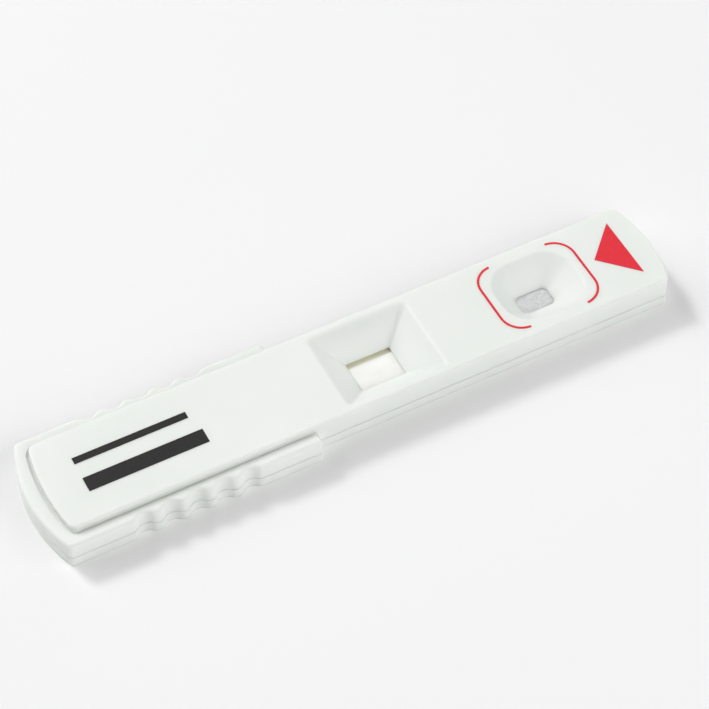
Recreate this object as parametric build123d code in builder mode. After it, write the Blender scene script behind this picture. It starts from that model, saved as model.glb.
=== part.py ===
"""D-dimer test strip: a two-shell moulded cassette that holds a lateral-flow strip.

The cassette lies flat with +Z up. The origin is under the middle of its length, on the
table. +X points from the finger grips to the tip that goes into the reader. The upper shell
carries a long raised plateau, the sample well near the tip and the read window in the
middle. The lower shell carries the strip between two rails. All sizes are in millimetres.
"""

import math
import os

from build123d import *

# Plan outline of the closed cassette
overall_length = 98.0
body_width = 15.3
wing_overhang = 2.0
handle_length = 39.8
end_arc_radius = 23.6
corner_radius = 0.75
shoulder_radius = 0.4

# Plateau that runs along the upper shell, with its own end inside the grip wings
plateau_end_gap = 2.5
plateau_end_arc_radius = 36.0
plateau_corner_radius = 1.2

# Heights above the table
parting_height = 1.75
wing_height = 4.55
total_height = 5.6

# Walls and edges of the two mouldings
wall_thickness = 1.1
top_thickness = 1.1
floor_thickness = 1.0
plateau_edge_radius = 0.3
wing_edge_radius = 0.5
plateau_groove_width = 0.45
plateau_groove_depth = 0.4
joint_groove_height = 0.15
joint_groove_depth = 0.3

# Finger scallops along both wings, counted from the end of the grip
scallop_count = 5
scallop_pitch = 3.95
scallop_depth = 0.72
scallop_crest_radius = 1.3
first_scallop_from_end = 13.0

# Locating lip of the lower shell and the pins of the upper shell
lip_thickness = 0.5
lip_height = 0.6
joint_clearance = 0.1
pin_radius = 0.7
pin_clearance = 0.05
socket_wall = 0.7
socket_height = 2.5
pin_foot_gap = 0.25
tip_pin_from_tip = 6.0
grip_pin_from_end = 6.5
shoulder_pin_setback = 4.0

# Read window: a rectangular funnel over the detection membrane
window_from_tip = 44.9
window_rim_length = 15.75
window_side_land = 1.05
window_side_shift = -0.2
window_opening_length = 7.0
window_opening_width = 5.2
window_rim_corner = 0.7
window_opening_corner = 0.25
window_lip_height = 1.65
window_rim_radius = 0.9

# Sample well: a rounded funnel over the sample pad
well_from_tip = 18.6
well_rim_length = 12.9
well_side_land = 2.2
well_corner_share = 0.79
well_opening_length = 5.2
well_opening_width = 3.3
well_opening_corner = 0.9
well_opening_shift = -0.3
well_lip_height = 2.2
well_rim_radius = 0.55

# Wall of both funnels, measured level
funnel_wall = 1.0

# Test strip: carrier foil, membrane and pads, laid along the floor of the lower shell
foil_width = 6.0
foil_thickness = 0.25
foil_tip_gap = 9.0
membrane_width = 4.8
membrane_shift = -0.52
membrane_thickness = 0.15
membrane_length = 21.0
pad_width = 5.4
pad_thickness = 0.4
biotin_pad_length = 4.0
gold_pad_length = 4.5
separation_pad_length = 18.0
sample_pad_length = 12.0
sample_pad_thickness = 0.35
absorbent_pad_length = 14.0
absorbent_pad_thickness = 1.0
cover_tape_thickness = 0.08
cover_tape_overlap = 1.5

# Rails that keep the strip in line, and ribs that hold it down
rail_gap = 0.15
rail_thickness = 0.8
rail_height = 0.6
press_rib_thickness = 0.9
press_rib_width = 4.6
press_gap = 0.1

# Printed marks on the plateau
ink_thickness = 0.05
bracket_clearance = 1.3
bracket_corner = 3.2
bracket_break = 9.35
bracket_stroke = 0.34
arrow_base_from_tip = 3.8
arrow_length = 5.2
arrow_base_width = 10.4
arrow_side_shift = 0.25
label_from_end = 7.85
label_thin_length = 17.0
label_thin_stroke = 1.1
label_thin_y = 2.35
label_thick_length = 17.9
label_thick_stroke = 2.4
label_thick_y = -2.0

# Widths that follow the body
handle_width = body_width + 2 * wing_overhang
window_rim_width = body_width - 2 * window_side_land
well_rim_width = body_width - 2 * well_side_land
well_rim_corner = well_corner_share * well_rim_width / 2

# Places along the length
tip_x = overall_length / 2
grip_end_x = -overall_length / 2
shoulder_x = grip_end_x + handle_length
plateau_end_x = grip_end_x + plateau_end_gap
window_x = tip_x - window_from_tip
well_x = tip_x - well_from_tip
well_opening_x = well_x + well_opening_shift
first_scallop_x = grip_end_x + first_scallop_from_end

# Levels
plateau_underside = total_height - top_thickness
wing_underside = wing_height - top_thickness
foil_top = floor_thickness + foil_thickness
pad_top = foil_top + pad_thickness
absorbent_pad_top = foil_top + absorbent_pad_thickness

# The strip's layers, end to end from the tip towards the grip
foil_tip_x = tip_x - foil_tip_gap
separation_tip_x = foil_tip_x
gold_tip_x = separation_tip_x - separation_pad_length
biotin_tip_x = gold_tip_x - gold_pad_length
membrane_tip_x = biotin_tip_x - biotin_pad_length
absorbent_tip_x = membrane_tip_x - membrane_length
foil_end_x = absorbent_tip_x - absorbent_pad_length

# Pin and socket centres, in pairs either side of the strip
socket_radius = pin_radius + pin_clearance + socket_wall
pin_y = body_width / 2 - wall_thickness - joint_clearance - socket_radius
pin_rows = (grip_end_x + grip_pin_from_end, shoulder_x - shoulder_pin_setback, tip_x - tip_pin_from_tip)
pin_places = [(x, side * pin_y) for x in pin_rows for side in (-1, 1)]


def arc_bulge(width, arc_radius):
    """How far an end arc stands out past the two corners of a bar of this width."""
    return arc_radius - math.sqrt(arc_radius**2 - (width / 2) ** 2)


def bar_outline(x_left, x_right, width, left_arc=0.0, right_arc=0.0):
    """Face of a straight-sided bar in plan. An arc radius of 0 leaves that end square."""
    half_width = width / 2
    left_corner = x_left + (arc_bulge(width, left_arc) if left_arc else 0.0)
    right_corner = x_right - (arc_bulge(width, right_arc) if right_arc else 0.0)
    with BuildSketch() as outline:
        with BuildLine():
            Line((left_corner, -half_width), (right_corner, -half_width))
            if right_arc:
                ThreePointArc((right_corner, -half_width), (x_right, 0), (right_corner, half_width))
            else:
                Line((right_corner, -half_width), (right_corner, half_width))
            Line((right_corner, half_width), (left_corner, half_width))
            if left_arc:
                ThreePointArc((left_corner, half_width), (x_left, 0), (left_corner, -half_width))
            else:
                Line((left_corner, half_width), (left_corner, -half_width))
        make_face()
    return outline.sketch


def cavity_outline(inset):
    """Inside of both mouldings in plan, this far in from the outer faces.

    Under the wings the inside is straight and clears the deepest point of the scallops.
    """
    with BuildSketch() as outline:
        add(
            bar_outline(
                grip_end_x + inset,
                shoulder_x - inset,
                handle_width - 2 * (scallop_depth + inset),
                left_arc=end_arc_radius - inset,
            )
        )
        add(plateau_cavity(inset))
    return outline.sketch


def plateau_cavity(inset):
    """Inside of the plateau and the front body in plan, this far in from their outer faces."""
    return bar_outline(
        plateau_end_x + inset,
        tip_x - inset,
        body_width - 2 * inset,
        left_arc=plateau_end_arc_radius - inset,
        right_arc=end_arc_radius - inset,
    )


def wavy_side(side):
    """Edges of one wing's side, from the end corner to the shoulder, on the -Y or +Y side.

    The scallops are hollow arcs joined by rounded crests, each tangent to the next.
    """
    y_side = side * handle_width / 2
    half_pitch = scallop_pitch / 2
    both_radii = (half_pitch**2 + scallop_depth**2) / (2 * scallop_depth)
    swing = math.asin(half_pitch / both_radii)
    turn_x = scallop_crest_radius * math.sin(swing)
    turn_y = y_side - side * scallop_crest_radius * (1 - math.cos(swing))
    half_swing_x = scallop_crest_radius * math.sin(swing / 2)
    half_swing_y = y_side - side * scallop_crest_radius * (1 - math.cos(swing / 2))
    end_corner_x = grip_end_x + arc_bulge(handle_width, end_arc_radius)
    wave_start = first_scallop_x - half_pitch
    wave_end = wave_start + scallop_count * scallop_pitch
    Line((end_corner_x, y_side), (wave_start, y_side))
    ThreePointArc(
        (wave_start, y_side),
        (wave_start + half_swing_x, half_swing_y),
        (wave_start + turn_x, turn_y),
    )
    for index in range(scallop_count):
        crest_x = wave_start + index * scallop_pitch
        next_crest_x = crest_x + scallop_pitch
        ThreePointArc(
            (crest_x + turn_x, turn_y),
            (crest_x + half_pitch, y_side - side * scallop_depth),
            (next_crest_x - turn_x, turn_y),
        )
        if index < scallop_count - 1:
            ThreePointArc(
                (next_crest_x - turn_x, turn_y),
                (next_crest_x, y_side),
                (next_crest_x + turn_x, turn_y),
            )
    ThreePointArc(
        (wave_end - turn_x, turn_y),
        (wave_end - half_swing_x, half_swing_y),
        (wave_end, y_side),
    )
    Line((wave_end, y_side), (shoulder_x, y_side))


# Outline of the grip wings, with scallops on both sides
with BuildSketch() as wing_outline:
    end_corner = grip_end_x + arc_bulge(handle_width, end_arc_radius)
    with BuildLine():
        wavy_side(-1)
        wavy_side(1)
        Line((shoulder_x, -handle_width / 2), (shoulder_x, handle_width / 2))
        ThreePointArc((end_corner, handle_width / 2), (grip_end_x, 0), (end_corner, -handle_width / 2))
    make_face()
    fillet(wing_outline.vertices().group_by(Axis.X)[0], radius=corner_radius)
    fillet(wing_outline.vertices().group_by(Axis.X)[-1], radius=shoulder_radius)

# Outline of the plateau, which is also the outline of the front body
with BuildSketch() as plateau_outline:
    add(
        bar_outline(
            plateau_end_x,
            tip_x,
            body_width,
            left_arc=plateau_end_arc_radius,
            right_arc=end_arc_radius,
        )
    )
    fillet(plateau_outline.vertices().group_by(Axis.X)[0], radius=plateau_corner_radius)
    fillet(plateau_outline.vertices().group_by(Axis.X)[-1], radius=corner_radius)


# Outline of the joint between the two shells
with BuildSketch() as joint_outline:
    add(wing_outline.sketch)
    add(plateau_outline.sketch)


def window_section(height, wall=0.0):
    """Side shift, length, width and corner radius of the window funnel at this height."""
    share = (height - window_lip_height) / (total_height - window_lip_height)
    shift = share * window_side_shift
    length = window_opening_length + share * (window_rim_length - window_opening_length)
    width = window_opening_width + share * (window_rim_width - window_opening_width)
    corner = window_opening_corner + share * (window_rim_corner - window_opening_corner)
    return shift, length + 2 * wall, width + 2 * wall, corner + wall


def well_section(height, wall=0.0):
    """Centre x, length, width and corner radius of the well funnel at this height."""
    share = (height - well_lip_height) / (total_height - well_lip_height)
    center_x = well_opening_x + share * (well_x - well_opening_x)
    length = well_opening_length + share * (well_rim_length - well_opening_length)
    width = well_opening_width + share * (well_rim_width - well_opening_width)
    corner = well_opening_corner + share * (well_rim_corner - well_opening_corner)
    return center_x, length + 2 * wall, width + 2 * wall, corner + wall


def rim_edges(shell, center_x):
    """Edges round the funnel mouth nearest this place on the shell's highest face."""
    mouths = shell.faces().sort_by(Axis.Z)[-1].inner_wires()
    return min(mouths, key=lambda mouth: abs(mouth.center().X - center_x)).edges()


# Upper shell
with BuildPart() as upper_shell:
    with BuildSketch(Plane.XY.offset(parting_height)):
        add(wing_outline.sketch)
    extrude(amount=wing_height - parting_height)
    fillet(upper_shell.faces().sort_by(Axis.Z)[-1].edges(), radius=wing_edge_radius)

    with BuildSketch(Plane.XY.offset(parting_height)):
        add(plateau_outline.sketch)
    extrude(amount=total_height - parting_height)
    fillet(upper_shell.faces().sort_by(Axis.Z)[-1].edges(), radius=plateau_edge_radius)

    # Groove in the wings that sets the plateau off
    with BuildSketch(Plane.XY.offset(wing_height - plateau_groove_depth)):
        add(plateau_outline.sketch)
        offset(amount=plateau_groove_width)
        add(plateau_outline.sketch, mode=Mode.SUBTRACT)
    extrude(amount=plateau_groove_depth, mode=Mode.SUBTRACT)

    # Narrow groove that sets the joint back from the outer faces
    with BuildSketch(Plane.XY.offset(parting_height)):
        add(joint_outline.sketch)
        offset(amount=-joint_groove_depth, mode=Mode.SUBTRACT)
    extrude(amount=joint_groove_height, mode=Mode.SUBTRACT)

    # Hollow under the wings, then the taller hollow under the plateau
    with BuildSketch(Plane.XY.offset(parting_height)):
        add(cavity_outline(wall_thickness))
    extrude(amount=wing_underside - parting_height, mode=Mode.SUBTRACT)
    with BuildSketch(Plane.XY.offset(parting_height)):
        add(plateau_cavity(wall_thickness))
    extrude(amount=plateau_underside - parting_height, mode=Mode.SUBTRACT)

    # Window funnel: the hanging walls, then the space inside them
    for height in (window_lip_height, plateau_underside):
        shift, length, width, corner = window_section(height, wall=funnel_wall)
        with BuildSketch(Plane.XY.offset(height)):
            with Locations((window_x, shift)):
                RectangleRounded(length, width, corner)
    loft(ruled=True)
    for height in (window_lip_height, total_height):
        shift, length, width, corner = window_section(height)
        with BuildSketch(Plane.XY.offset(height)):
            with Locations((window_x, shift)):
                RectangleRounded(length, width, corner)
    loft(ruled=True, mode=Mode.SUBTRACT)

    # Well funnel: its corners tighten towards the opening at the bottom
    for height in (well_lip_height, plateau_underside):
        center_x, length, width, corner = well_section(height, wall=funnel_wall)
        with BuildSketch(Plane.XY.offset(height)):
            with Locations((center_x, 0)):
                RectangleRounded(length, width, corner)
    loft(ruled=True)
    for height in (well_lip_height, total_height):
        center_x, length, width, corner = well_section(height)
        with BuildSketch(Plane.XY.offset(height)):
            with Locations((center_x, 0)):
                RectangleRounded(length, width, corner)
    loft(ruled=True, mode=Mode.SUBTRACT)

    # Rounded rims of both funnels
    fillet(rim_edges(upper_shell, window_x), radius=window_rim_radius)
    fillet(rim_edges(upper_shell, well_x), radius=well_rim_radius)

    # Pins that stand in the lower shell's sockets
    pin_foot = floor_thickness + pin_foot_gap
    with BuildSketch(Plane.XY.offset(pin_foot)):
        with Locations(*pin_places):
            Circle(pin_radius)
    extrude(amount=plateau_underside - pin_foot)

    # Ribs that hold the absorbent pad and the reagent pads down
    absorbent_rib_x = absorbent_tip_x - absorbent_pad_length / 2
    reagent_rib_x = (gold_tip_x + biotin_tip_x) / 2
    for rib_x, rib_foot in (
        (absorbent_rib_x, absorbent_pad_top + press_gap),
        (reagent_rib_x, pad_top + cover_tape_thickness + press_gap),
    ):
        with BuildSketch(Plane.XY.offset(rib_foot)):
            with Locations((rib_x, 0)):
                Rectangle(press_rib_thickness, press_rib_width)
        extrude(amount=plateau_underside - rib_foot)

# Lower shell
with BuildPart() as lower_shell:
    with BuildSketch():
        add(joint_outline.sketch)
    extrude(amount=parting_height)

    # Locating lip that stands inside the upper shell's wall, and the pocket inside it
    lip_outside = wall_thickness + joint_clearance
    with BuildSketch(Plane.XY.offset(parting_height)):
        add(cavity_outline(lip_outside))
    extrude(amount=lip_height)
    with BuildSketch(Plane.XY.offset(floor_thickness)):
        add(cavity_outline(lip_outside + lip_thickness))
    extrude(amount=parting_height + lip_height - floor_thickness, mode=Mode.SUBTRACT)

    # Rails each side of the strip, and a stop at each of its ends
    rail_y = foil_width / 2 + rail_gap + rail_thickness / 2
    strip_length = foil_tip_x - foil_end_x
    strip_middle_x = (foil_tip_x + foil_end_x) / 2
    stop_x = strip_length / 2 + rail_gap + rail_thickness / 2
    with BuildSketch(Plane.XY.offset(floor_thickness)):
        with Locations((strip_middle_x, -rail_y), (strip_middle_x, rail_y)):
            Rectangle(strip_length, rail_thickness)
        with Locations((strip_middle_x - stop_x, 0), (strip_middle_x + stop_x, 0)):
            Rectangle(rail_thickness, foil_width)
    extrude(amount=rail_height)

    # Sockets for the pins
    with BuildSketch(Plane.XY.offset(floor_thickness)):
        with Locations(*pin_places):
            Circle(socket_radius)
    extrude(amount=socket_height - floor_thickness)
    with BuildSketch(Plane.XY.offset(floor_thickness)):
        with Locations(*pin_places):
            Circle(pin_radius + pin_clearance)
    extrude(amount=socket_height - floor_thickness, mode=Mode.SUBTRACT)

# Test strip, from the foil upwards
with BuildPart() as carrier_foil:
    with BuildSketch(Plane.XY.offset(floor_thickness)):
        add(bar_outline(foil_end_x, foil_tip_x, foil_width))
    extrude(amount=foil_thickness)

with BuildPart() as detection_membrane:
    with BuildSketch(Plane.XY.offset(foil_top)):
        with Locations((0, membrane_shift)):
            add(bar_outline(absorbent_tip_x, membrane_tip_x, membrane_width))
    extrude(amount=membrane_thickness)

with BuildPart() as absorbent_pad:
    with BuildSketch(Plane.XY.offset(foil_top)):
        add(bar_outline(foil_end_x, absorbent_tip_x, pad_width))
    extrude(amount=absorbent_pad_thickness)

with BuildPart() as biotin_pad:
    with BuildSketch(Plane.XY.offset(foil_top)):
        add(bar_outline(membrane_tip_x, biotin_tip_x, pad_width))
    extrude(amount=pad_thickness)

with BuildPart() as gold_conjugate_pad:
    with BuildSketch(Plane.XY.offset(foil_top)):
        add(bar_outline(biotin_tip_x, gold_tip_x, pad_width))
    extrude(amount=pad_thickness)

with BuildPart() as separation_pad:
    with BuildSketch(Plane.XY.offset(foil_top)):
        add(bar_outline(gold_tip_x, separation_tip_x, pad_width))
    extrude(amount=pad_thickness)

with BuildPart() as sample_pad:
    with BuildSketch(Plane.XY.offset(pad_top)):
        with Locations((well_opening_x, 0)):
            Rectangle(sample_pad_length, pad_width)
    extrude(amount=sample_pad_thickness)

with BuildPart() as cover_tape:
    with BuildSketch(Plane.XY.offset(pad_top)):
        add(bar_outline(membrane_tip_x, gold_tip_x + cover_tape_overlap, pad_width))
    extrude(amount=cover_tape_thickness)

# Printed marks on top of the plateau
bracket_half_length = well_rim_length / 2 + bracket_clearance
bracket_half_width = well_rim_width / 2 + bracket_clearance / 2
with BuildPart() as well_brackets:
    with BuildSketch(Plane.XY.offset(total_height)):
        with Locations((well_x, 0)):
            RectangleRounded(
                2 * bracket_half_length + bracket_stroke,
                2 * bracket_half_width + bracket_stroke,
                bracket_corner + bracket_stroke / 2,
            )
            RectangleRounded(
                2 * bracket_half_length - bracket_stroke,
                2 * bracket_half_width - bracket_stroke,
                bracket_corner - bracket_stroke / 2,
                mode=Mode.SUBTRACT,
            )
            Rectangle(bracket_break, 3 * bracket_half_width, mode=Mode.SUBTRACT)
    extrude(amount=ink_thickness)

arrow_base_x = tip_x - arrow_base_from_tip
with BuildPart() as insert_arrow:
    with BuildSketch(Plane.XY.offset(total_height)):
        with BuildLine():
            Polyline(
                (arrow_base_x, arrow_side_shift - arrow_base_width / 2),
                (arrow_base_x, arrow_side_shift + arrow_base_width / 2),
                (arrow_base_x - arrow_length, arrow_side_shift),
                close=True,
            )
        make_face()
    extrude(amount=ink_thickness)

label_start_x = grip_end_x + label_from_end
with BuildPart() as label_bar_thin:
    with BuildSketch(Plane.XY.offset(total_height)):
        with Locations((label_start_x + label_thin_length / 2, label_thin_y)):
            Rectangle(label_thin_length, label_thin_stroke)
    extrude(amount=ink_thickness)

with BuildPart() as label_bar_thick:
    with BuildSketch(Plane.XY.offset(total_height)):
        with Locations((label_start_x + label_thick_length / 2, label_thick_y)):
            Rectangle(label_thick_length, label_thick_stroke)
    extrude(amount=ink_thickness)

pieces = {
    "upper_shell": upper_shell,
    "lower_shell": lower_shell,
    "carrier_foil": carrier_foil,
    "detection_membrane": detection_membrane,
    "absorbent_pad": absorbent_pad,
    "biotin_pad": biotin_pad,
    "gold_conjugate_pad": gold_conjugate_pad,
    "separation_pad": separation_pad,
    "sample_pad": sample_pad,
    "cover_tape": cover_tape,
    "well_brackets": well_brackets,
    "insert_arrow": insert_arrow,
    "label_bar_thin": label_bar_thin,
    "label_bar_thick": label_bar_thick,
}

os.makedirs("parts", exist_ok=True)
for piece_name, piece in pieces.items():
    piece.part.label = piece_name
    export_step(piece.part, f"parts/{piece_name}.step")
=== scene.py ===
"""Studio scene of a single-use d-dimer test cassette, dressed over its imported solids.

The cassette lies on a pale table, seen from above its grip end. The two white shells, the strip
inside them and the printed marks keep the solids' shapes and get their real finishes here. The
glass fibres that show in the sample well are built in this file. Sizes are in metres.
"""

import logging
import math
from dataclasses import dataclass, field
from enum import Enum
from typing import Protocol

import bpy
from mathutils import Matrix, Vector


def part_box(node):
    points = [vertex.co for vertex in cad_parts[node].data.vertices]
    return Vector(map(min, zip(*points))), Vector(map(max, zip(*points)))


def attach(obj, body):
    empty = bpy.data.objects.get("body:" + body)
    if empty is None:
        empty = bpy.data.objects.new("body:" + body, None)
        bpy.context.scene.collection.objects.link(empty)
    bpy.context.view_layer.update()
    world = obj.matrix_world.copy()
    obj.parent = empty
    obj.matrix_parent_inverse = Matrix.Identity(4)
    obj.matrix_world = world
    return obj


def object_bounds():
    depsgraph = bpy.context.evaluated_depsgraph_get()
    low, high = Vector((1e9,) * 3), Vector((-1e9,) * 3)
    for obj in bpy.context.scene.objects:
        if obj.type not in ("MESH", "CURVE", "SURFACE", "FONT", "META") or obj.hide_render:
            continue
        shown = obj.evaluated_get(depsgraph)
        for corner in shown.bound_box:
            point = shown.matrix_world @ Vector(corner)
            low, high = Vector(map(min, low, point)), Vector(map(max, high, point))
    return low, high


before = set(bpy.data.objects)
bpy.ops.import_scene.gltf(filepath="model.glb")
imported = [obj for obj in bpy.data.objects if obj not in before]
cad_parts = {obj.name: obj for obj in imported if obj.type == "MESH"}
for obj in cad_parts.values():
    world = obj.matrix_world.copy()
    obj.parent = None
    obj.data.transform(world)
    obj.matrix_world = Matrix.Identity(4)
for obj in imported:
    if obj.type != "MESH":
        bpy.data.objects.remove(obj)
cad_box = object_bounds()

log = logging.getLogger("test_cassette")

MM = 0.001
BODY = "root"

# Nearly all of a noise's values lie between these two
NOISE_LOW = 0.3
NOISE_HIGH = 0.7


class Slot(Enum):
    """A material slot of the record; no piece made here takes its finish from it."""

    FLEECE = "fleece_white"


class Coordinates(Enum):
    """Which coordinates a texture reads, by the name of the coordinate node's output."""

    OBJECT = "Object"


@dataclass(frozen=True)
class Colour:
    """A surface colour, in the 0 to 255 steps of a picture.

    Attributes:
        red: Red step.
        green: Green step.
        blue: Blue step.
    """

    red: float
    green: float
    blue: float

    @staticmethod
    def _to_linear(step: float) -> float:
        """Turns one picture step into linear light."""
        share = step / 255.0
        return share / 12.92 if share <= 0.04045 else ((share + 0.055) / 1.055) ** 2.4

    def linear(self) -> tuple[float, float, float, float]:
        """Gives the colour as linear red, green, blue and a full alpha."""
        return (*(self._to_linear(step) for step in (self.red, self.green, self.blue)), 1.0)


class MaterialSheet:
    """One material's node tree, with short calls for the nodes that the finishes share."""

    def __init__(self, name: str) -> None:
        """Starts a material with its shader already wired to the output.

        Args:
            name: Name of the material.
        """
        self.material = bpy.data.materials.new(name)
        self.material.use_nodes = True
        self.nodes = self.material.node_tree.nodes
        self.links = self.material.node_tree.links
        self.nodes.clear()
        self.shader = self.nodes.new("ShaderNodeBsdfPrincipled")
        output = self.nodes.new("ShaderNodeOutputMaterial")
        self.links.new(self.shader.outputs["BSDF"], output.inputs["Surface"])
        self.place = self.nodes.new("ShaderNodeTexCoord").outputs[Coordinates.OBJECT.value]

    def constant(self, **values: float | tuple[float, ...]) -> None:
        """Sets values straight on the shader's sockets.

        Args:
            **values: Socket names in lower case with underscores, and their values.
        """
        sockets = {socket.name.lower().replace(" ", "_"): socket for socket in self.shader.inputs}
        for name, value in values.items():
            sockets[name].default_value = value

    def stretched(self, scale: tuple[float, float, float]) -> bpy.types.NodeSocket:
        """Gives the object coordinates with each axis scaled.

        Args:
            scale: Scale of each axis.

        Returns:
            The scaled coordinates' socket.
        """
        mapping = self.nodes.new("ShaderNodeMapping")
        mapping.inputs["Scale"].default_value = scale
        self.links.new(self.place, mapping.inputs["Vector"])
        return mapping.outputs["Vector"]

    def noise(
        self,
        feature: float,
        detail: float = 2.0,
        roughness: float = 0.5,
        place: bpy.types.NodeSocket | None = None,
    ) -> bpy.types.NodeSocket:
        """Adds a noise whose features are about this large.

        Args:
            feature: Size of the features, in metres.
            detail: Octaves of finer noise.
            roughness: Strength of the finer octaves.
            place: Coordinates to read, or None for the plain object coordinates.

        Returns:
            The noise value's socket, about 0.5 on average.
        """
        node = self.nodes.new("ShaderNodeTexNoise")
        node.inputs["Scale"].default_value = 1.0 / feature
        node.inputs["Detail"].default_value = detail
        node.inputs["Roughness"].default_value = roughness
        self.links.new(place or self.place, node.inputs["Vector"])
        return node.outputs["Fac"]

    def spread(self, value: bpy.types.NodeSocket, low: float, high: float) -> bpy.types.NodeSocket:
        """Spreads a noise's middle range over two values.

        Args:
            value: The noise value.
            low: Result where the noise is low.
            high: Result where the noise is high.

        Returns:
            The spread value's socket.
        """
        node = self.nodes.new("ShaderNodeMapRange")
        node.inputs["From Min"].default_value = NOISE_LOW
        node.inputs["From Max"].default_value = NOISE_HIGH
        node.inputs["To Min"].default_value = low
        node.inputs["To Max"].default_value = high
        self.links.new(value, node.inputs["Value"])
        return node.outputs["Result"]

    def blend(
        self, share: bpy.types.NodeSocket, first: Colour, second: Colour
    ) -> bpy.types.NodeSocket:
        """Blends two colours by a value from 0 to 1.

        Args:
            share: How much of the second colour shows.
            first: Colour at 0.
            second: Colour at 1.

        Returns:
            The blended colour's socket.
        """
        node = self.nodes.new("ShaderNodeMix")
        node.data_type = "RGBA"
        colour_inputs = [socket for socket in node.inputs if socket.type == "RGBA"]
        colour_inputs[0].default_value = first.linear()
        colour_inputs[1].default_value = second.linear()
        self.links.new(share, node.inputs[0])
        return next(socket for socket in node.outputs if socket.type == "RGBA")

    def bump(
        self,
        height: bpy.types.NodeSocket,
        depth: float,
        under: bpy.types.NodeSocket | None = None,
    ) -> bpy.types.NodeSocket:
        """Adds a bump from a height value.

        Args:
            height: The height value.
            depth: How deep the relief is, in metres.
            under: A bump that lies under this one.

        Returns:
            The bumped normal's socket.
        """
        node = self.nodes.new("ShaderNodeBump")
        node.inputs["Strength"].default_value = 1.0
        node.inputs["Distance"].default_value = depth
        self.links.new(height, node.inputs["Height"])
        if under is not None:
            self.links.new(under, node.inputs["Normal"])
        return node.outputs["Normal"]

    def join(self, source: bpy.types.NodeSocket, shader_input: str) -> None:
        """Wires a socket to one of the shader's inputs."""
        self.links.new(source, self.shader.inputs[shader_input])


class Finish(Protocol):
    """Anything that can make its own material."""

    def material(self, name: str) -> bpy.types.Material:
        """Makes the material under this name."""


@dataclass(frozen=True)
class SatinPlastic:
    """White moulded polystyrene with a fine spark-eroded grain.

    Attributes:
        colour: Main colour.
        shade: Slightly cooler colour that drifts in over large patches.
        gloss: Lowest roughness.
        dullness: Highest roughness.
        grain: Size of the mould's grain.
        grain_depth: Depth of the grain.
        drift: Size of the patches where the tone drifts.
        sink_depth: Depth of the slow waviness that moulded walls have.
        glow: Share of the light that goes through the plastic before it comes back.
        glow_depth: How far that light travels.
    """

    colour: Colour = Colour(240, 243, 239)
    shade: Colour = Colour(236, 240, 235)
    gloss: float = 0.42
    dullness: float = 0.52
    grain: float = 0.12 * MM
    grain_depth: float = 0.0016 * MM
    drift: float = 14 * MM
    sink_depth: float = 0.006 * MM
    glow: float = 0.45
    glow_depth: float = 0.9 * MM

    def material(self, name: str) -> bpy.types.Material:
        """Makes the plastic.

        Args:
            name: Name of the material.

        Returns:
            The finished material.
        """
        sheet = MaterialSheet(name)
        sheet.constant(ior=1.49, specular_ior_level=0.35)
        sheet.constant(subsurface_weight=self.glow, subsurface_scale=self.glow_depth)
        sheet.constant(subsurface_radius=(1.0, 1.0, 0.9))
        tone = sheet.spread(sheet.noise(self.drift, detail=1.0), 0.0, 1.0)
        sheet.join(sheet.blend(tone, self.colour, self.shade), "Base Color")
        dull = sheet.spread(sheet.noise(self.grain * 4), self.gloss, self.dullness)
        sheet.join(dull, "Roughness")
        waves = sheet.bump(sheet.noise(self.drift / 2, detail=0.0), self.sink_depth)
        grain = sheet.noise(self.grain, detail=3.0, roughness=0.6)
        sheet.join(sheet.bump(grain, self.grain_depth, under=waves), "Normal")
        return sheet.material


@dataclass(frozen=True)
class PadPrint:
    """A thin film of printed ink, slightly mottled, with the plastic's grain under it.

    Attributes:
        colour: Main colour.
        thin: Colour where the film is thinner.
        mottle: Size of the mottling.
        relief: Depth of the film's unevenness.
        gloss: Lowest roughness of the dried ink.
        dullness: Highest roughness of the dried ink.
    """

    colour: Colour
    thin: Colour
    mottle: float = 0.5 * MM
    relief: float = 0.002 * MM
    gloss: float = 0.45
    dullness: float = 0.58

    def material(self, name: str) -> bpy.types.Material:
        """Makes the ink.

        Args:
            name: Name of the material.

        Returns:
            The finished material.
        """
        sheet = MaterialSheet(name)
        sheet.constant(ior=1.46, specular_ior_level=0.3)
        cover = sheet.spread(sheet.noise(self.mottle, detail=4.0, roughness=0.65), 0.0, 1.0)
        sheet.join(sheet.blend(cover, self.colour, self.thin), "Base Color")
        dull = sheet.spread(sheet.noise(self.mottle / 3), self.gloss, self.dullness)
        sheet.join(dull, "Roughness")
        sheet.join(sheet.bump(sheet.noise(self.mottle / 4, detail=3.0), self.relief), "Normal")
        return sheet.material


@dataclass(frozen=True)
class PorousMembrane:
    """Cast nitrocellulose: dead matt, very white, with a fine pore structure.

    Attributes:
        colour: Main colour.
        shade: Colour in the pores and the faint cloudiness.
        pore: Size of the pores.
        cloud: Size of the cloudiness.
        flow_stretch: Scale of the cloudiness along the flow; less than 1 draws it out.
        relief: Depth of the pores.
    """

    colour: Colour = Colour(251, 251, 248)
    shade: Colour = Colour(243, 243, 238)
    pore: float = 0.05 * MM
    cloud: float = 1.6 * MM
    flow_stretch: float = 0.35
    relief: float = 0.006 * MM

    def material(self, name: str) -> bpy.types.Material:
        """Makes the membrane.

        Args:
            name: Name of the material.

        Returns:
            The finished material.
        """
        sheet = MaterialSheet(name)
        sheet.constant(roughness=0.9, specular_ior_level=0.15)
        along_flow = sheet.stretched((self.flow_stretch, 1.0, 1.0))
        cloud = sheet.spread(sheet.noise(self.cloud, detail=3.0, place=along_flow), 0.0, 1.0)
        sheet.join(sheet.blend(cloud, self.colour, self.shade), "Base Color")
        pores = sheet.noise(self.pore, detail=4.0, roughness=0.7)
        sheet.join(sheet.bump(pores, self.relief), "Normal")
        return sheet.material


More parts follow.
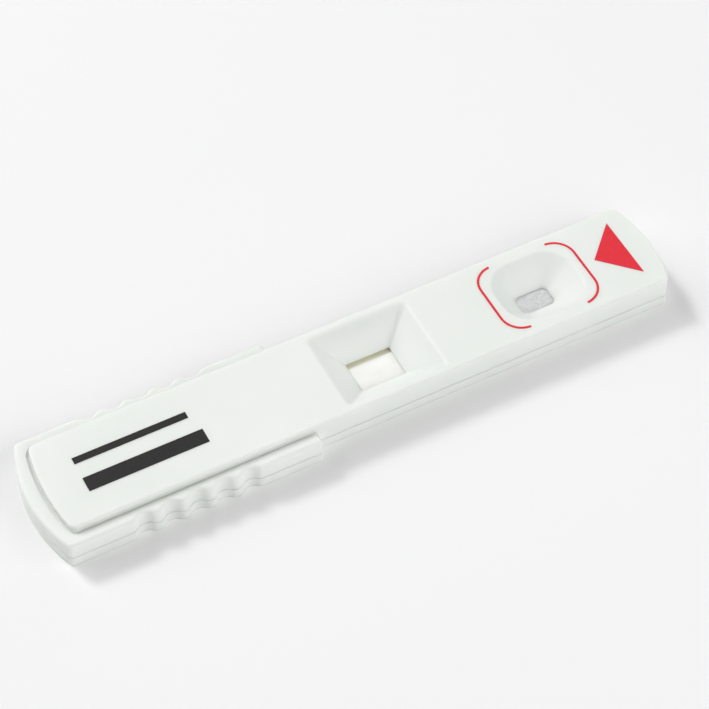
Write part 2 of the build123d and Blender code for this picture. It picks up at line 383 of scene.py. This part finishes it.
@dataclass(frozen=True)
class CarrierFilm:
    """Olive polyester film that backs the strip, with faint lengthways draw lines.

    Attributes:
        colour: Main colour.
        streak: Colour of the draw lines.
        line_width: Width of the draw lines.
        line_stretch: Scale of the lines lengthways; less than 1 draws them out.
        relief: Depth of the draw lines.
    """

    colour: Colour = Colour(233, 233, 207)
    streak: Colour = Colour(226, 226, 198)
    line_width: float = 0.12 * MM
    line_stretch: float = 0.02
    relief: float = 0.002 * MM

    def material(self, name: str) -> bpy.types.Material:
        """Makes the film.

        Args:
            name: Name of the material.

        Returns:
            The finished material.
        """
        sheet = MaterialSheet(name)
        sheet.constant(roughness=0.38, ior=1.57, specular_ior_level=0.45)
        lengthways = sheet.stretched((self.line_stretch, 1.0, 1.0))
        lines = sheet.noise(self.line_width, detail=2.0, place=lengthways)
        share = sheet.spread(lines, 0.0, 1.0)
        sheet.join(sheet.blend(share, self.colour, self.streak), "Base Color")
        sheet.join(sheet.bump(lines, self.relief), "Normal")
        return sheet.material


@dataclass(frozen=True)
class Fleece:
    """Pressed fibre fleece, matt and uneven, with crossing strands and painted shade between them.

    Attributes:
        colour: Main colour.
        shade: Painted shade between the strands, where their relief is low.
        strand: Width of the strands.
        strand_stretch: Scale of a strand along its length; less than 1 draws it out.
        relief: Depth of the strands.
    """

    colour: Colour = Colour(253, 253, 254)
    # shade is painted shade for the gaps between the strands
    shade: Colour = Colour(238, 238, 240)
    strand: float = 0.06 * MM
    strand_stretch: float = 0.12
    relief: float = 0.03 * MM

    def material(self, name: str) -> bpy.types.Material:
        """Makes the fleece.

        Args:
            name: Name of the material.

        Returns:
            The finished material.
        """
        sheet = MaterialSheet(name)
        sheet.constant(roughness=0.85, specular_ior_level=0.2)
        sheet.constant(sheen_weight=0.2, sheen_roughness=0.5)
        lengthways = sheet.stretched((self.strand_stretch, 1.0, 1.0))
        crossways = sheet.stretched((1.0, self.strand_stretch, 1.0))
        one_way = sheet.noise(self.strand, detail=2.0, place=lengthways)
        other_way = sheet.noise(self.strand, detail=2.0, place=crossways)
        crossing = sheet.nodes.new("ShaderNodeMath")
        crossing.operation = "MAXIMUM"
        sheet.links.new(one_way, crossing.inputs[0])
        sheet.links.new(other_way, crossing.inputs[1])
        strands = crossing.outputs["Value"]
        share = sheet.spread(strands, 0.0, 1.0)
        # painted shade: the gaps between strands, low in the bump, get the darker colour
        sheet.join(sheet.blend(share, self.shade, self.colour), "Base Color")
        sheet.join(sheet.bump(strands, self.relief), "Normal")
        return sheet.material


@dataclass(frozen=True)
class GlassFibre:
    """Bare glass fibre: bright white threads with a soft glint.

    Attributes:
        colour: Main colour.
        shade: Colour of the duller threads.
        patch: Size of the patches of duller threads.
    """

    colour: Colour = Colour(252, 252, 252)
    shade: Colour = Colour(232, 232, 233)
    patch: float = 0.25 * MM

    def material(self, name: str) -> bpy.types.Material:
        """Makes the fibre.

        Args:
            name: Name of the material.

        Returns:
            The finished material.
        """
        sheet = MaterialSheet(name)
        sheet.constant(ior=1.5, specular_ior_level=0.5)
        share = sheet.spread(sheet.noise(self.patch, detail=1.0), 0.0, 1.0)
        sheet.join(sheet.blend(share, self.colour, self.shade), "Base Color")
        sheet.join(sheet.spread(sheet.noise(self.patch / 2), 0.3, 0.5), "Roughness")
        return sheet.material


@dataclass(frozen=True)
class ClearTape:
    """Clear adhesive film over the reagent pads.

    Attributes:
        colour: Tint of the film.
        ripple: Size of the ripples where it follows the fleece.
        relief: Depth of the ripples.
    """

    colour: Colour = Colour(246, 250, 250)
    ripple: float = 0.8 * MM
    relief: float = 0.01 * MM

    def material(self, name: str) -> bpy.types.Material:
        """Makes the tape.

        Args:
            name: Name of the material.

        Returns:
            The finished material.
        """
        sheet = MaterialSheet(name)
        sheet.constant(transmission_weight=0.85, ior=1.47, base_color=self.colour.linear())
        sheet.join(sheet.spread(sheet.noise(self.ripple), 0.08, 0.2), "Roughness")
        sheet.join(sheet.bump(sheet.noise(self.ripple, detail=1.0), self.relief), "Normal")
        return sheet.material


def dress(node: str, material: bpy.types.Material) -> None:
    """Gives a CAD node its finish and reports it.

    Args:
        node: Name of the CAD node.
        material: The finish.
    """
    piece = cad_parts[node]
    for material_slot in piece.material_slots:
        material_slot.material = material
    log.info("%s: finish %s on the packed solid", node, material.name)


@dataclass
class Housing:
    """The two white mouldings that close round the strip.

    Attributes:
        plastic: Finish of both mouldings.
    """

    plastic: Finish = SatinPlastic()

    def build(self) -> None:
        """Dresses the upper and the lower shell."""
        white = self.plastic.material("satin_white_plastic")
        dress("upper_shell", white)
        dress("lower_shell", white)


@dataclass
class Markings:
    """The print on the plateau: well brackets, insertion arrow and two plain bars.

    Attributes:
        red: Finish of the brackets and the arrow.
        black: Finish of the bars.
    """

    red: Finish = PadPrint(Colour(226, 44, 58), Colour(231, 54, 67))
    black: Finish = PadPrint(Colour(38, 37, 37), Colour(46, 45, 45))

    def build(self) -> None:
        """Dresses the printed marks."""
        red = self.red.material("red_print")
        black = self.black.material("black_print")
        dress("well_brackets", red)
        dress("insert_arrow", red)
        dress("label_bar_thin", black)
        dress("label_bar_thick", black)


class FibreTree:
    """Geometry Nodes that lay a mat of crossing, wavy fibres over a rectangle.

    The inputs are named for what they size, and every random choice has a fixed seed.
    """

    INPUTS: tuple[tuple[str, str], ...] = (
        ("Centre", "NodeSocketVector"),
        ("Mat Length", "NodeSocketFloat"),
        ("Mat Width", "NodeSocketFloat"),
        ("Loft", "NodeSocketFloat"),
        ("Fibres Per Area", "NodeSocketFloat"),
        ("Fibre Length", "NodeSocketFloat"),
        ("Fibre Radius", "NodeSocketFloat"),
        ("Tilt", "NodeSocketFloat"),
        ("Waviness", "NodeSocketFloat"),
        ("Seed", "NodeSocketInt"),
        ("Finish", "NodeSocketMaterial"),
    )
    BEND_POINTS = 7
    SIDES = 5
    WAVE_SIZE = 0.45 * MM
    UPRIGHT_WAVE_SHARE = 0.25
    NOISE_MIDDLE = (0.5, 0.5, 0.5)
    LIFT_DRAW = 3
    TURN_DRAW = 11

    def __init__(self, name: str) -> None:
        """Builds the tree.

        Args:
            name: Name of the node group.
        """
        self.tree = bpy.data.node_groups.new(name, "GeometryNodeTree")
        self.identifiers: dict[str, str] = {}
        for label, kind in self.INPUTS:
            socket = self.tree.interface.new_socket(name=label, in_out="INPUT", socket_type=kind)
            self.identifiers[label] = socket.identifier
        self.tree.interface.new_socket(
            name="Geometry", in_out="OUTPUT", socket_type="NodeSocketGeometry"
        )
        self.given = self.tree.nodes.new("NodeGroupInput")
        self._wire()

    def _node(self, kind: str, **links: bpy.types.NodeSocket) -> bpy.types.Node:
        """Adds a node and wires the named inputs.

        Args:
            kind: The node's type name.
            **links: Input names with underscores for spaces, and what feeds them.

        Returns:
            The new node.
        """
        node = self.tree.nodes.new(kind)
        for name, source in links.items():
            self.tree.links.new(source, node.inputs[name.replace("_", " ")])
        return node

    def _xyz(self, **axes: bpy.types.NodeSocket) -> bpy.types.NodeSocket:
        """Joins up to three values into a vector."""
        return self._node("ShaderNodeCombineXYZ", **axes).outputs["Vector"]

    def _times(self, value: bpy.types.NodeSocket, factor: float) -> bpy.types.NodeSocket:
        """Multiplies a value by a fixed factor."""
        node = self.tree.nodes.new("ShaderNodeMath")
        node.operation = "MULTIPLY"
        self.tree.links.new(value, node.inputs[0])
        node.inputs[1].default_value = factor
        return node.outputs["Value"]

    def _random_vector(
        self, low: bpy.types.NodeSocket, high: bpy.types.NodeSocket, draw: int
    ) -> bpy.types.NodeSocket:
        """Adds a random vector between two corners.

        Args:
            low: Lowest corner.
            high: Highest corner.
            draw: Seed of this draw.

        Returns:
            The random vector's socket.
        """
        node = self.tree.nodes.new("FunctionNodeRandomValue")
        node.data_type = "FLOAT_VECTOR"
        self.tree.links.new(low, node.inputs[0])
        self.tree.links.new(high, node.inputs[1])
        seed = next(socket for socket in node.inputs if socket.name == "Seed")
        seed.default_value = draw
        return node.outputs[0]

    def _scattered_points(self) -> bpy.types.NodeSocket:
        """Scatters the fibres' middles through the mat's loft."""
        given = self.given.outputs
        grid = self._node(
            "GeometryNodeMeshGrid", Size_X=given["Mat Length"], Size_Y=given["Mat Width"]
        )
        grid.inputs["Vertices X"].default_value = 2
        grid.inputs["Vertices Y"].default_value = 2
        placed = self._node(
            "GeometryNodeTransform", Geometry=grid.outputs["Mesh"], Translation=given["Centre"]
        )
        scatter = self._node(
            "GeometryNodeDistributePointsOnFaces",
            Mesh=placed.outputs["Geometry"],
            Density=given["Fibres Per Area"],
            Seed=given["Seed"],
        )
        lift = self._random_vector(self._xyz(), self._xyz(Z=given["Loft"]), self.LIFT_DRAW)
        lifted = self._node(
            "GeometryNodeSetPosition", Geometry=scatter.outputs["Points"], Offset=lift
        )
        return lifted.outputs["Geometry"]

    def _straight_fibre(self) -> bpy.types.NodeSocket:
        """Makes one straight fibre with enough points to bend."""
        length = self.given.outputs["Fibre Length"]
        end = self._times(length, 0.5)
        start = self._times(length, -0.5)
        line = self._node("GeometryNodeCurvePrimitiveLine")
        self.tree.links.new(self._xyz(X=start), line.inputs["Start"])
        self.tree.links.new(self._xyz(X=end), line.inputs["End"])
        points = self._node("GeometryNodeResampleCurve", Curve=line.outputs["Curve"])
        points.inputs["Count"].default_value = self.BEND_POINTS
        return points.outputs["Curve"]

    def _wavy(self, fibres: bpy.types.NodeSocket) -> bpy.types.NodeSocket:
        """Bends the laid fibres by a noise, so that no two are alike."""
        given = self.given.outputs
        noise = self.tree.nodes.new("ShaderNodeTexNoise")
        noise.inputs["Scale"].default_value = 1.0 / self.WAVE_SIZE
        noise.inputs["Detail"].default_value = 1.0
        centred = self.tree.nodes.new("ShaderNodeVectorMath")
        centred.operation = "SUBTRACT"
        self.tree.links.new(noise.outputs["Color"], centred.inputs[0])
        centred.inputs[1].default_value = self.NOISE_MIDDLE
        waves = self.tree.nodes.new("ShaderNodeVectorMath")
        waves.operation = "MULTIPLY"
        upright = self._times(given["Waviness"], self.UPRIGHT_WAVE_SHARE)
        self.tree.links.new(centred.outputs["Vector"], waves.inputs[0])
        self.tree.links.new(
            self._xyz(X=given["Waviness"], Y=given["Waviness"], Z=upright), waves.inputs[1]
        )
        bent = self._node(
            "GeometryNodeSetPosition", Geometry=fibres, Offset=waves.outputs["Vector"]
        )
        return bent.outputs["Geometry"]

    def _wire(self) -> None:
        """Wires the whole tree, ending in Realize Instances and Set Material."""
        given = self.given.outputs
        down_tilt = self._times(given["Tilt"], -1.0)
        turn = self._random_vector(
            self._xyz(Y=down_tilt), self._full_turn(given["Tilt"]), self.TURN_DRAW
        )
        laid = self._node(
            "GeometryNodeInstanceOnPoints",
            Points=self._scattered_points(),
            Instance=self._straight_fibre(),
            Rotation=turn,
        )
        loose = self._node("GeometryNodeRealizeInstances", Geometry=laid.outputs["Instances"])
        profile = self._node("GeometryNodeCurvePrimitiveCircle", Radius=given["Fibre Radius"])
        profile.inputs["Resolution"].default_value = self.SIDES
        tubes = self._node(
            "GeometryNodeCurveToMesh",
            Curve=self._wavy(loose.outputs["Geometry"]),
            Profile_Curve=profile.outputs["Curve"],
        )
        tubes.inputs["Fill Caps"].default_value = True
        smooth = self._node("GeometryNodeSetShadeSmooth", Geometry=tubes.outputs["Mesh"])
        real = self._node("GeometryNodeRealizeInstances", Geometry=smooth.outputs["Geometry"])
        dressed = self._node(
            "GeometryNodeSetMaterial", Geometry=real.outputs["Geometry"], Material=given["Finish"]
        )
        self._node("NodeGroupOutput", Geometry=dressed.outputs["Geometry"])

    def _full_turn(self, tilt: bpy.types.NodeSocket) -> bpy.types.NodeSocket:
        """Gives the highest corner of the fibres' turns: the tilt, and once round upright."""
        corner = self._node("ShaderNodeCombineXYZ", Y=tilt)
        corner.inputs["Z"].default_value = 2 * math.pi
        return corner.outputs["Vector"]

    def grow(self, name: str, values: dict[str, object]) -> bpy.types.Object:
        """Runs the tree with these inputs and keeps the result as a plain mesh.

        Args:
            name: Name of the finished piece.
            values: Value of each named input.

        Returns:
            The piece, with no modifier left on it.
        """
        piece = bpy.data.objects.new(name, bpy.data.meshes.new(name + "_start"))
        bpy.context.scene.collection.objects.link(piece)
        modifier = piece.modifiers.new("grow", "NODES")
        modifier.node_group = self.tree
        for label, value in values.items():
            modifier[self.identifiers[label]] = value
        bpy.context.view_layer.update()
        evaluated = piece.evaluated_get(bpy.context.evaluated_depsgraph_get())
        mesh = bpy.data.meshes.new_from_object(evaluated)
        piece.modifiers.remove(modifier)
        piece.data = mesh
        return piece


@dataclass
class TestStrip:
    """The strip inside: olive film, membrane, pads, tape, and the fibres in the well.

    Attributes:
        film: Finish of the carrier film.
        membrane: Finish of the detection membrane.
        fleece: Finish of the plain pads.
        gold_fleece: Finish of the pad that holds the dried gold conjugate.
        fibre: Finish of the loose fibres that show in the well.
        tape: Finish of the cover tape.
        mat_length: Length of the mat of loose fibres.
        mat_width: Width of the mat.
        loft: Height through which the fibres are spread.
        fibres_per_area: Fibres on a square metre.
        fibre_length: Length of one fibre.
        fibre_radius: Radius of one fibre.
        tilt: How far a fibre may lean, in radians.
        waviness: How far a fibre's bends swing.
        seed: Seed of the scatter.
    """

    film: Finish = CarrierFilm()
    membrane: Finish = PorousMembrane()
    fleece: Finish = Fleece()
    # the second colour is painted shade between the gold pad's strands
    gold_fleece: Finish = Fleece(Colour(206, 158, 166), Colour(184, 132, 142))
    fibre: Finish = GlassFibre()
    tape: Finish = ClearTape()
    mat_length: float = 5.6 * MM
    mat_width: float = 3.8 * MM
    loft: float = 0.07 * MM
    fibres_per_area: float = 62.0e6
    fibre_length: float = 1.1 * MM
    fibre_radius: float = 0.018 * MM
    tilt: float = 0.05
    waviness: float = 0.5 * MM
    seed: int = 7

    def build(self) -> None:
        """Dresses the strip's layers and grows the fibres in the well."""
        fleece = self.fleece.material("white_fleece")
        dress("carrier_foil", self.film.material("olive_film"))
        dress("detection_membrane", self.membrane.material("nitrocellulose"))
        for pad in ("sample_pad", "separation_pad", "biotin_pad", "absorbent_pad"):
            dress(pad, fleece)
        dress("gold_conjugate_pad", self.gold_fleece.material("gold_conjugate_fleece"))
        dress("cover_tape", self.tape.material("clear_film"))
        self._grow_fibres()

    def _grow_fibres(self) -> None:
        """Grows the mat of loose fibres on top of the sample pad, under the well's mouth."""
        lowest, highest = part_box("sample_pad")
        centre = ((lowest.x + highest.x) / 2, (lowest.y + highest.y) / 2, highest.z)
        fibres = FibreTree("fibre_mat").grow(
            "sample_pad_fibres",
            {
                "Centre": centre,
                "Mat Length": self.mat_length,
                "Mat Width": self.mat_width,
                "Loft": self.loft,
                "Fibres Per Area": self.fibres_per_area,
                "Fibre Length": self.fibre_length,
                "Fibre Radius": self.fibre_radius,
                "Tilt": self.tilt,
                "Waviness": self.waviness,
                "Seed": self.seed,
                "Finish": self.fibre.material("glass_fibre"),
            },
        )
        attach(fibres, BODY)
        log.info("%s: %d faces of loose fibre", fibres.name, len(fibres.data.polygons))


def direction(azimuth: float, elevation: float) -> Vector:
    """Gives the unit vector from the cassette towards a place in the studio.

    Args:
        azimuth: Turn round the cassette, in degrees; 0 is towards -Y and 90 towards +X.
        elevation: Angle above the table, in degrees.

    Returns:
        The unit vector.
    """
    turn = math.radians(azimuth)
    rise = math.radians(elevation)
    level = math.cos(rise)
    return Vector((math.sin(turn) * level, -math.cos(turn) * level, math.sin(rise)))


def face_back(thing: bpy.types.Object, aim: Vector, towards: Vector, distance: float) -> None:
    """Puts a camera or a lamp at a distance from its aim, turned to look at it.

    Args:
        thing: The camera or the lamp.
        aim: The point that it looks at.
        towards: Unit vector from the aim towards the thing.
        distance: Distance from the aim.
    """
    thing.location = aim + towards * distance
    thing.rotation_mode = "QUATERNION"
    thing.rotation_quaternion = (-towards).to_track_quat("-Z", "Y")


@dataclass(frozen=True)
class PhotoCamera:
    """A camera at the photograph's viewing angle.

    Attributes:
        azimuth: Turn round the cassette, in degrees; 0 looks along +Y.
        elevation: Angle above the table, in degrees.
        distance: Distance from the aim to the camera.
        aim: The point in the middle of the picture.
        lens: Focal length in millimetres.
        sensor: Width of the sensor in millimetres.
        clip_factor: How many times nearer and farther than the aim the camera still sees.
    """

    azimuth: float = -27.63
    elevation: float = 51.97
    distance: float = 341.3 * MM
    aim: tuple[float, float, float] = (1.598 * MM, 1.733 * MM, 4.507 * MM)
    lens: float = 123.05
    sensor: float = 36.0
    clip_factor: float = 100.0

    def build(self) -> None:
        """Makes the camera and gives it to the scene."""
        data = bpy.data.cameras.new("photo_camera")
        data.lens = self.lens
        data.sensor_width = self.sensor
        data.clip_start = self.distance / self.clip_factor
        data.clip_end = self.distance * self.clip_factor
        camera = bpy.data.objects.new("photo_camera", data)
        towards = direction(self.azimuth, self.elevation)
        face_back(camera, Vector(self.aim), towards, self.distance)
        bpy.context.scene.collection.objects.link(camera)
        bpy.context.scene.camera = camera
        log.info("camera at %s", tuple(round(value, 4) for value in camera.location))


@dataclass(frozen=True)
class SoftBox:
    """One square studio lamp that faces the cassette.

    Attributes:
        name: Name of the lamp.
        azimuth: Direction that the light comes from, in degrees; 0 is from -Y.
        elevation: Height of the lamp above the table, in degrees.
        distance: Distance from the cassette.
        side: Length of the lamp's side.
        power: Power in watts.
        tint: Colour of the light.
    """

    name: str
    azimuth: float
    elevation: float
    distance: float
    side: float
    power: float
    tint: Colour = Colour(255, 255, 255)

    def build(self) -> None:
        """Makes the lamp, turned to the cassette's middle."""
        data = bpy.data.lights.new(self.name, "AREA")
        data.shape = "SQUARE"
        data.size = self.side
        data.energy = self.power
        data.color = self.tint.linear()[:3]
        lamp = bpy.data.objects.new(self.name, data)
        face_back(lamp, Vector(), direction(self.azimuth, self.elevation), self.distance)
        bpy.context.scene.collection.objects.link(lamp)
        log.info("%s: %.0f degrees round, %.0f up", self.name, self.azimuth, self.elevation)


@dataclass
class Studio:
    """The pale table, the lamps, the surrounding light and the camera.

    Attributes:
        floor_colour: Colour of the table.
        floor_side: Side of the square table.
        floor_gap: How far the table's face lies under the cassette's lowest point.
        surround: Strength of the light from all round.
        surround_tint: Colour of the light from all round.
        horizon: Colour that the camera sees past the table.
        lamps: The lamps.
        camera: The camera.
    """

    floor_colour: Colour = Colour(245, 245, 245)
    floor_side: float = 6.0
    floor_gap: float = 0.01 * MM
    surround: float = 0.05
    surround_tint: Colour = Colour(255, 255, 255)
    horizon: Colour = Colour(244, 244, 244)
    lamps: tuple[SoftBox, ...] = (
        SoftBox("key_lamp", azimuth=202.0, elevation=43.0, distance=1.2, side=0.24, power=5.0),
        SoftBox("near_fill", azimuth=0.0, elevation=35.0, distance=0.7, side=0.6, power=1.95),
        SoftBox("tip_fill", azimuth=45.0, elevation=35.0, distance=0.7, side=0.6, power=2.0),
        SoftBox("far_tip_fill", azimuth=135.0, elevation=35.0, distance=0.7, side=0.6, power=0.92),
        SoftBox("far_fill", azimuth=225.0, elevation=35.0, distance=0.7, side=0.6, power=2.6),
    )
    camera: PhotoCamera = field(default_factory=PhotoCamera)

    def build(self) -> None:
        """Makes the whole studio."""
        self._floor()
        self._world()
        for lamp in self.lamps:
            lamp.build()
        self.camera.build()
        bpy.context.scene.view_settings.view_transform = "Standard"

    def _floor(self) -> None:
        """Lays the table, a plain matt sheet."""
        half = self.floor_side / 2
        mesh = bpy.data.meshes.new("table_top")
        corners = [(-half, -half, 0), (half, -half, 0), (half, half, 0), (-half, half, 0)]
        mesh.from_pydata(corners, [], [(0, 1, 2, 3)])
        mesh.transform(Matrix.Translation((0, 0, cad_box[0].z - self.floor_gap)))
        sheet = MaterialSheet("matt_table")
        sheet.constant(roughness=0.9, specular_ior_level=0.1, base_color=self.floor_colour.linear())
        mesh.materials.append(sheet.material)
        floor = bpy.data.objects.new("table_top", mesh)
        bpy.context.scene.collection.objects.link(floor)

    def _world(self) -> None:
        """Lights from all round, and shows the horizon's own colour to the camera."""
        world = bpy.data.worlds.new("studio_surround")
        world.use_nodes = True
        nodes, links = world.node_tree.nodes, world.node_tree.links
        nodes.clear()
        light = nodes.new("ShaderNodeBackground")
        light.inputs["Color"].default_value = self.surround_tint.linear()
        light.inputs["Strength"].default_value = self.surround
        shown = nodes.new("ShaderNodeBackground")
        shown.inputs["Color"].default_value = self.horizon.linear()
        shown.inputs["Strength"].default_value = 1.0
        path = nodes.new("ShaderNodeLightPath")
        either = nodes.new("ShaderNodeMixShader")
        output = nodes.new("ShaderNodeOutputWorld")
        links.new(path.outputs["Is Camera Ray"], either.inputs[0])
        links.new(light.outputs["Background"], either.inputs[1])
        links.new(shown.outputs["Background"], either.inputs[2])
        links.new(either.outputs["Shader"], output.inputs["Surface"])
        bpy.context.scene.world = world


def main() -> None:
    """Builds the cassette's finishes, its fibres and the studio."""
    logging.basicConfig(level=logging.INFO, format="%(name)s: %(message)s")
    for assembly in (Housing(), Markings(), TestStrip(), Studio()):
        assembly.build()


if __name__ == "__main__":
    main()
